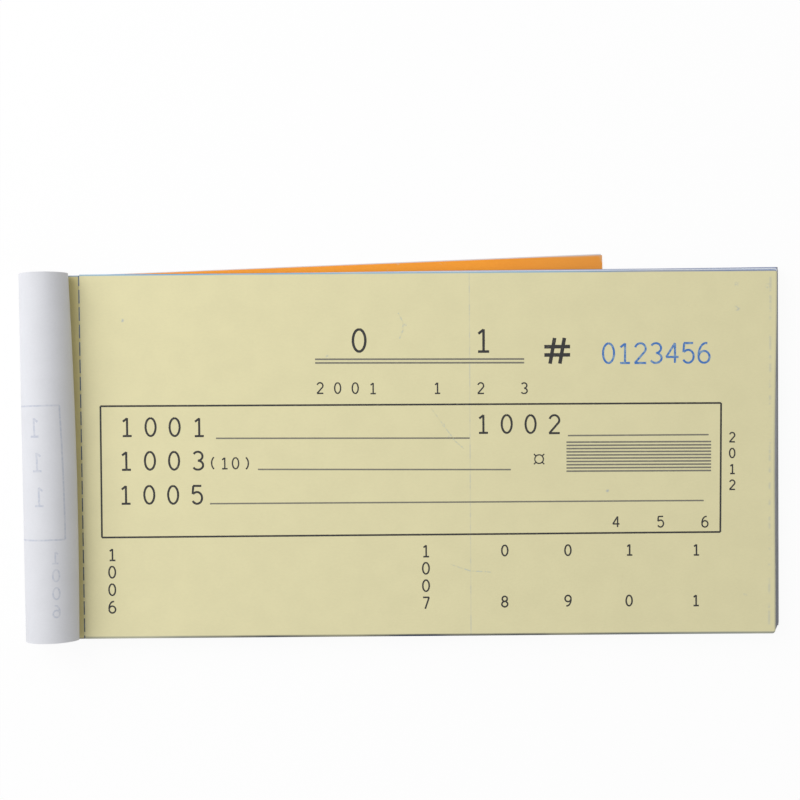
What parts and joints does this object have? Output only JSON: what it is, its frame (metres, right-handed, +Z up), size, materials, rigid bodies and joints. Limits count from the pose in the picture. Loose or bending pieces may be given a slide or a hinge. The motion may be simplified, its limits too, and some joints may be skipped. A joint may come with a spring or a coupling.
{
  "type": "duplicate receipt book",
  "caption": "Flat pad of two-part slips bound along a short side, open at a ruled copy sheet, with its card cover and first sheet rolled over the stub and folded back beneath.",
  "frame": {"origin": "middle of the top sheet's plan, on the surface that the book lies on", "axes": "+X from the spine to the free edge, +Y up the page, +Z up"},
  "size_m": [0.1774, 0.0899, 0.0126],
  "materials": {
    "original_paper": "matte",
    "copy_paper": "matte",
    "front_card": "satin",
    "back_card": "matte",
    "tape": "satin",
    "wire": "bright"
  },
  "bodies": {
    "pad": {"back_cover": "back_card", "spine_tape": "tape", "staples": "wire", "copy_stubs": "copy_paper", "original_stubs": "original_paper", "original_sheet_turnover": "original_paper", "front_cover_turnover": "front_card"},
    "front_cover": {"front_cover_panel": "front_card"},
    "first_original": {"original_sheet_panel": "original_paper"},
    "set_02": {"original_leaf_02": "original_paper", "copy_leaf_02": "copy_paper"},
    "set_03": {"original_leaf_03": "original_paper", "copy_leaf_03": "copy_paper"},
    "set_04": {"original_leaf_04": "original_paper", "copy_leaf_04": "copy_paper"},
    "set_05": {"original_leaf_05": "original_paper", "copy_leaf_05": "copy_paper"},
    "set_06": {"original_leaf_06": "original_paper", "copy_leaf_06": "copy_paper"},
    "set_07": {"original_leaf_07": "original_paper", "copy_leaf_07": "copy_paper"},
    "set_08": {"original_leaf_08": "original_paper", "copy_leaf_08": "copy_paper"},
    "set_09": {"original_leaf_09": "original_paper", "copy_leaf_09": "copy_paper"},
    "set_10": {"original_leaf_10": "original_paper", "copy_leaf_10": "copy_paper"},
    "set_11": {"original_leaf_11": "original_paper", "copy_leaf_11": "copy_paper"},
    "set_12": {"original_leaf_12": "original_paper", "copy_leaf_12": "copy_paper"},
    "set_13": {"original_leaf_13": "original_paper", "copy_leaf_13": "copy_paper"},
    "set_14": {"original_leaf_14": "original_paper", "copy_leaf_14": "copy_paper"},
    "set_15": {"original_leaf_15": "original_paper", "copy_leaf_15": "copy_paper"},
    "set_16": {"original_leaf_16": "original_paper", "copy_leaf_16": "copy_paper"},
    "set_17": {"original_leaf_17": "original_paper", "copy_leaf_17": "copy_paper"},
    "set_18": {"original_leaf_18": "original_paper", "copy_leaf_18": "copy_paper"},
    "set_19": {"original_leaf_19": "original_paper", "copy_leaf_19": "copy_paper"},
    "set_20": {"original_leaf_20": "original_paper", "copy_leaf_20": "copy_paper"},
    "copy_01": {"copy_leaf_01": "copy_paper"}
  },
  "joints": [
    {"name": "cover_turn", "type": "hinge", "parent": "pad", "child": "front_cover", "pos_m": [-0.0882, 0, 0.0002], "axis": [-0.0019, 1, 0], "range_deg": [0, 180]},
    {"name": "original_turn", "type": "hinge", "parent": "pad", "child": "first_original", "pos_m": [-0.0882, 0, 0.0002], "axis": [-0.0019, 1, 0], "range_deg": [0, 180]},
    {"name": "set_02_turn", "type": "hinge", "parent": "pad", "child": "set_02", "pos_m": [-0.07501, 0, 0.00475], "axis": [0, -1, 0], "range_deg": [0, 45]},
    {"name": "set_03_turn", "type": "hinge", "parent": "pad", "child": "set_03", "pos_m": [-0.07492, 0, 0.00454], "axis": [0, -1, 0], "range_deg": [0, 45]},
    {"name": "set_04_turn", "type": "hinge", "parent": "pad", "child": "set_04", "pos_m": [-0.07482, 0, 0.00433], "axis": [0, -1, 0], "range_deg": [0, 45]},
    {"name": "set_05_turn", "type": "hinge", "parent": "pad", "child": "set_05", "pos_m": [-0.07473, 0, 0.00412], "axis": [0, -1, 0], "range_deg": [0, 45]},
    {"name": "set_06_turn", "type": "hinge", "parent": "pad", "child": "set_06", "pos_m": [-0.07464, 0, 0.00391], "axis": [0, -1, 0], "range_deg": [0, 45]},
    {"name": "set_07_turn", "type": "hinge", "parent": "pad", "child": "set_07", "pos_m": [-0.07455, 0, 0.0037], "axis": [0, -1, 0], "range_deg": [0, 45]},
    {"name": "set_08_turn", "type": "hinge", "parent": "pad", "child": "set_08", "pos_m": [-0.07446, 0, 0.00349], "axis": [0, -1, 0], "range_deg": [0, 45]},
    {"name": "set_09_turn", "type": "hinge", "parent": "pad", "child": "set_09", "pos_m": [-0.07436, 0, 0.00328], "axis": [0, -1, 0], "range_deg": [0, 45]},
    {"name": "set_10_turn", "type": "hinge", "parent": "pad", "child": "set_10", "pos_m": [-0.07427, 0, 0.00307], "axis": [0, -1, 0], "range_deg": [0, 45]},
    {"name": "set_11_turn", "type": "hinge", "parent": "pad", "child": "set_11", "pos_m": [-0.07418, 0, 0.00286], "axis": [0, -1, 0], "range_deg": [0, 45]},
    {"name": "set_12_turn", "type": "hinge", "parent": "pad", "child": "set_12", "pos_m": [-0.07409, 0, 0.00265], "axis": [0, -1, 0], "range_deg": [0, 45]},
    {"name": "set_13_turn", "type": "hinge", "parent": "pad", "child": "set_13", "pos_m": [-0.07399, 0, 0.00244], "axis": [0, -1, 0], "range_deg": [0, 45]},
    {"name": "set_14_turn", "type": "hinge", "parent": "pad", "child": "set_14", "pos_m": [-0.0739, 0, 0.00223], "axis": [0, -1, 0], "range_deg": [0, 45]},
    {"name": "set_15_turn", "type": "hinge", "parent": "pad", "child": "set_15", "pos_m": [-0.07381, 0, 0.00202], "axis": [0, -1, 0], "range_deg": [0, 45]},
    {"name": "set_16_turn", "type": "hinge", "parent": "pad", "child": "set_16", "pos_m": [-0.07372, 0, 0.00181], "axis": [0, -1, 0], "range_deg": [0, 45]},
    {"name": "set_17_turn", "type": "hinge", "parent": "pad", "child": "set_17", "pos_m": [-0.07363, 0, 0.0016], "axis": [0, -1, 0], "range_deg": [0, 45]},
    {"name": "set_18_turn", "type": "hinge", "parent": "pad", "child": "set_18", "pos_m": [-0.07353, 0, 0.00139], "axis": [0, -1, 0], "range_deg": [0, 45]},
    {"name": "set_19_turn", "type": "hinge", "parent": "pad", "child": "set_19", "pos_m": [-0.07344, 0, 0.00118], "axis": [0, -1, 0], "range_deg": [0, 45]},
    {"name": "set_20_turn", "type": "hinge", "parent": "pad", "child": "set_20", "pos_m": [-0.07335, 0, 0.00097], "axis": [0, -1, 0], "range_deg": [0, 45]},
    {"name": "copy_turn", "type": "hinge", "parent": "set_02", "child": "copy_01", "pos_m": [-0.0751, 0, 0.00488], "axis": [0, -1, 0], "range_deg": [0, 43]}
  ],
  "couplings": [
    {"joint": "original_turn", "follows": "cover_turn", "ratio": 1},
    {"joint": "set_03_turn", "follows": "set_02_turn", "ratio": 0.94737},
    {"joint": "set_04_turn", "follows": "set_02_turn", "ratio": 0.89474},
    {"joint": "set_05_turn", "follows": "set_02_turn", "ratio": 0.8421},
    {"joint": "set_06_turn", "follows": "set_02_turn", "ratio": 0.78947},
    {"joint": "set_07_turn", "follows": "set_02_turn", "ratio": 0.73684},
    {"joint": "set_08_turn", "follows": "set_02_turn", "ratio": 0.68421},
    {"joint": "set_09_turn", "follows": "set_02_turn", "ratio": 0.63158},
    {"joint": "set_10_turn", "follows": "set_02_turn", "ratio": 0.57895},
    {"joint": "set_11_turn", "follows": "set_02_turn", "ratio": 0.52632},
    {"joint": "set_12_turn", "follows": "set_02_turn", "ratio": 0.47368},
    {"joint": "set_13_turn", "follows": "set_02_turn", "ratio": 0.42105},
    {"joint": "set_14_turn", "follows": "set_02_turn", "ratio": 0.36842},
    {"joint": "set_15_turn", "follows": "set_02_turn", "ratio": 0.31579},
    {"joint": "set_16_turn", "follows": "set_02_turn", "ratio": 0.26316},
    {"joint": "set_17_turn", "follows": "set_02_turn", "ratio": 0.21053},
    {"joint": "set_18_turn", "follows": "set_02_turn", "ratio": 0.1579},
    {"joint": "set_19_turn", "follows": "set_02_turn", "ratio": 0.10526},
    {"joint": "set_20_turn", "follows": "set_02_turn", "ratio": 0.052632}
  ]
}
